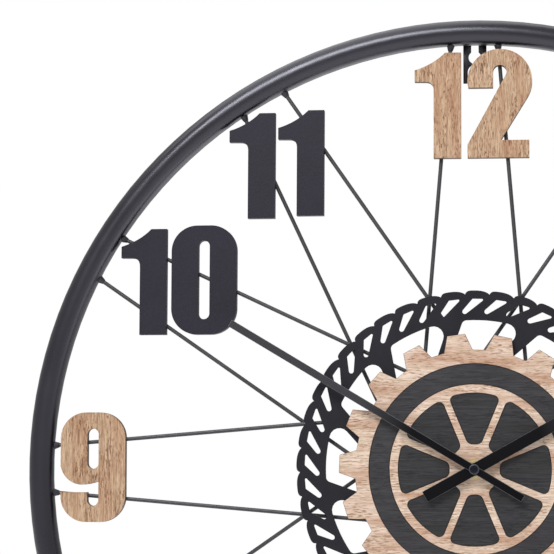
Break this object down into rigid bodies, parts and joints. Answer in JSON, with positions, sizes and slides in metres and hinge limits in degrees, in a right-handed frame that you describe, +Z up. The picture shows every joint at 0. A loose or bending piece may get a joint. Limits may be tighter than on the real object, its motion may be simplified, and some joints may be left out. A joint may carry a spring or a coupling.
{
  "type": "wall clock",
  "caption": "Round wall clock built like a wire-spoked cycle wheel, with cut-out numerals, a lobed rotor, a wooden toothed plate, bar hands and a quartz movement.",
  "frame": {"origin": "axis of the wall screw at the closed end of the hanger's slot, on the wall plane", "axes": "+Z up, +Y into the wall out of the clock's back, the dial faces -Y and +X is to the right as it is read"},
  "size_m": [0.5699, 0.04, 0.5699],
  "materials": {
    "painted_steel": "satin black enamel",
    "spoke_steel": "satin dark grey",
    "weld_steel": "satin black",
    "zinc_steel": "zinc plated",
    "rotor_steel": "satin black",
    "plate_wood": "matt sealed, horizontal grain",
    "stained_veneer": "black stained, matt",
    "numeral_wood": "matt sealed, vertical grain",
    "numeral_black": "satin black",
    "gasket_rubber": "matt",
    "movement_plastic": "moulded, fine grain",
    "nut_brass": "turned",
    "hand_aluminium": "black painted",
    "wheel_plastic": "moulded",
    "arbor_steel": "turned",
    "cap_metal": "satin black",
    "knob_plastic": "moulded",
    "magnet_steel": "ground",
    "stator_iron": "stamped",
    "coil_winding": "lacquered copper wire",
    "board_plastic": "solder resist",
    "crystal_metal": "drawn can",
    "contact_steel": "nickel plated"
  },
  "bodies": {
    "frame": {"rim_tube": "painted_steel", "rim_weld": "painted_steel", "hanger_plate": "painted_steel", "spoke_welds": "weld_steel", "spokes_01": "spoke_steel", "spokes_02": "spoke_steel", "spokes_03": "spoke_steel", "spokes_04": "spoke_steel", "spokes_05": "spoke_steel", "spokes_06": "spoke_steel", "spokes_07": "spoke_steel", "spokes_08": "spoke_steel", "spokes_09": "spoke_steel", "spokes_10": "spoke_steel", "spokes_11": "spoke_steel", "spokes_12": "spoke_steel", "numeral_01": "numeral_black", "numeral_02": "numeral_black", "numeral_03": "numeral_wood", "numeral_04": "numeral_black", "numeral_05": "numeral_black", "numeral_06": "numeral_wood", "numeral_07": "numeral_black", "numeral_08": "numeral_black", "numeral_09": "numeral_wood", "numeral_10": "numeral_black", "numeral_11": "numeral_black", "numeral_12": "numeral_wood", "hub_flange": "painted_steel", "hub_spacers": "painted_steel", "hub_screws": "zinc_steel", "rotor_disc": "rotor_steel", "toothed_plate": "plate_wood", "ring_inlay": "stained_veneer", "wedge_inlays": "stained_veneer", "movement_gasket": "gasket_rubber", "movement_case": "movement_plastic", "movement_cover": "movement_plastic", "dial_washer": "nut_brass", "dial_nut": "nut_brass", "centre_wheel": "wheel_plastic", "third_wheel": "wheel_plastic", "seconds_wheel": "wheel_plastic", "drive_wheel": "wheel_plastic", "stepping_rotor": "magnet_steel", "train_plate": "wheel_plastic", "stator": "stator_iron", "coil": "coil_winding", "circuit_board": "board_plastic", "quartz_crystal": "crystal_metal", "battery_contacts": "contact_steel"},
    "hour_body": {"hour_hand": "hand_aluminium", "hour_wheel": "wheel_plastic"},
    "minute_body": {"minute_hand": "hand_aluminium", "minute_arbor": "arbor_steel", "cap_nut": "cap_metal"},
    "motion_body": {"motion_wheel": "wheel_plastic"},
    "setting_body": {"setting_knob": "knob_plastic"}
  },
  "joints": [
    {"name": "minute_turn", "type": "hinge", "parent": "frame", "child": "minute_body", "pos_m": [0, -0.01, -0.27065], "axis": [0, 1, 0], "continuous": true},
    {"name": "hour_turn", "type": "hinge", "parent": "frame", "child": "hour_body", "pos_m": [0, -0.01, -0.27065], "axis": [0, 1, 0], "continuous": true},
    {"name": "motion_turn", "type": "hinge", "parent": "frame", "child": "motion_body", "pos_m": [0.00677, -0.01, -0.27311], "axis": [0, 1, 0], "continuous": true},
    {"name": "setting_turn", "type": "hinge", "parent": "frame", "child": "setting_body", "pos_m": [0.01466, -0.01, -0.27024], "axis": [0, 1, 0], "continuous": true}
  ],
  "couplings": [
    {"joint": "hour_turn", "follows": "minute_turn", "ratio": 0.083333},
    {"joint": "motion_turn", "follows": "minute_turn", "ratio": -0.33333},
    {"joint": "setting_turn", "follows": "minute_turn", "ratio": 0.6}
  ]
}
